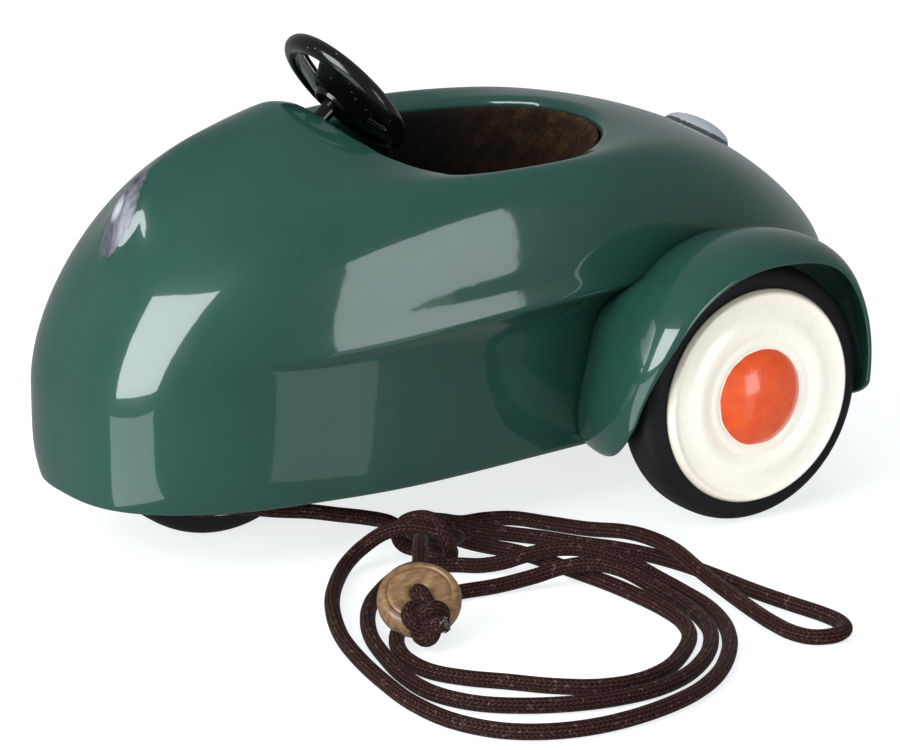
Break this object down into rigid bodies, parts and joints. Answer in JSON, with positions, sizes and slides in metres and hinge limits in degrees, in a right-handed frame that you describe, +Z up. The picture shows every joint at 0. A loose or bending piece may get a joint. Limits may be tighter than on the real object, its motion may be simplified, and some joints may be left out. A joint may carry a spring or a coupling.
{
  "type": "toy pull-along car",
  "caption": "Streamlined pressed-steel doll car with an open cockpit, steering wheel, mudguards over the rear wheels, a nose wheel and a waxed pull cord with a bead.",
  "frame": {"origin": "on the floor, in the middle of the car's length and width without the cord", "axes": "+Z up, the nose points to -Y, +X is the car's left side"},
  "size_m": [0.231, 0.216, 0.1164],
  "materials": {
    "green_enamel": "glossy dark green stove enamel on pressed steel, with hand-painted silver on the raised nose teardrop and tail button",
    "black_paint": "thin black paint on steel",
    "bare_steel": "plain zinc-plated steel",
    "tyre_rubber": "matte black moulded rubber",
    "cream_enamel": "cream enamel with a hand-painted orange dome",
    "black_gloss": "glossy black moulding",
    "brown_plush": "short-pile brown plush",
    "waxed_cord": "dark brown waxed cotton herringbone braid",
    "bead_wood": "turned light brown wood with a fine groove"
  },
  "bodies": {
    "chassis": {"body_shell": "green_enamel", "fender_left": "green_enamel", "fender_right": "green_enamel", "base_plate": "black_paint", "shell_tab_front_left": "bare_steel", "shell_tab_front_right": "bare_steel", "shell_tab_rear_left": "bare_steel", "shell_tab_rear_right": "bare_steel", "plate_screw_front_left": "black_paint", "plate_screw_front_right": "black_paint", "plate_screw_rear_left": "black_paint", "plate_screw_rear_right": "black_paint", "front_axle": "bare_steel", "front_axle_cap": "bare_steel", "front_fork": "bare_steel", "fork_rivet_left": "bare_steel", "fork_rivet_right": "bare_steel", "axle_bracket_left": "bare_steel", "axle_bracket_right": "bare_steel", "column_bracket": "bare_steel", "seat_lining": "brown_plush", "seat_cushion": "brown_plush", "cord_eyelet": "black_paint", "cord_stop_knot": "waxed_cord", "cord_lead": "waxed_cord", "cord_knot": "waxed_cord", "cord_coil": "waxed_cord", "cord_bight": "waxed_cord", "cord_tail": "waxed_cord", "cord_end_knot": "waxed_cord", "cord_bead": "bead_wood"},
    "steering": {"steering_wheel": "black_gloss", "steering_column": "black_gloss", "column_collar_upper": "bare_steel", "column_collar_lower": "bare_steel"},
    "front_wheel": {"front_tyre": "tyre_rubber", "front_disc_left": "cream_enamel", "front_disc_right": "cream_enamel", "front_bush": "bare_steel"},
    "rear_wheels": {"rear_tyre_left": "tyre_rubber", "rear_disc_left": "cream_enamel", "rear_inner_disc_left": "cream_enamel", "rear_bush_left": "bare_steel", "rear_tyre_right": "tyre_rubber", "rear_disc_right": "cream_enamel", "rear_inner_disc_right": "cream_enamel", "rear_bush_right": "bare_steel", "rear_axle": "bare_steel", "axle_collar_left": "bare_steel", "axle_collar_right": "bare_steel"}
  },
  "joints": [
    {"name": "steering_turn", "type": "hinge", "parent": "chassis", "child": "steering", "pos_m": [0, -0.0296, 0.1018], "axis": [0, 0.7815, 0.6239], "continuous": true},
    {"name": "front_wheel_spin", "type": "hinge", "parent": "chassis", "child": "front_wheel", "pos_m": [0, -0.067, 0.0315], "axis": [1, 0, 0], "continuous": true},
    {"name": "rear_wheels_spin", "type": "hinge", "parent": "chassis", "child": "rear_wheels", "pos_m": [0, 0.043, 0.0315], "axis": [1, 0, 0], "continuous": true}
  ]
}
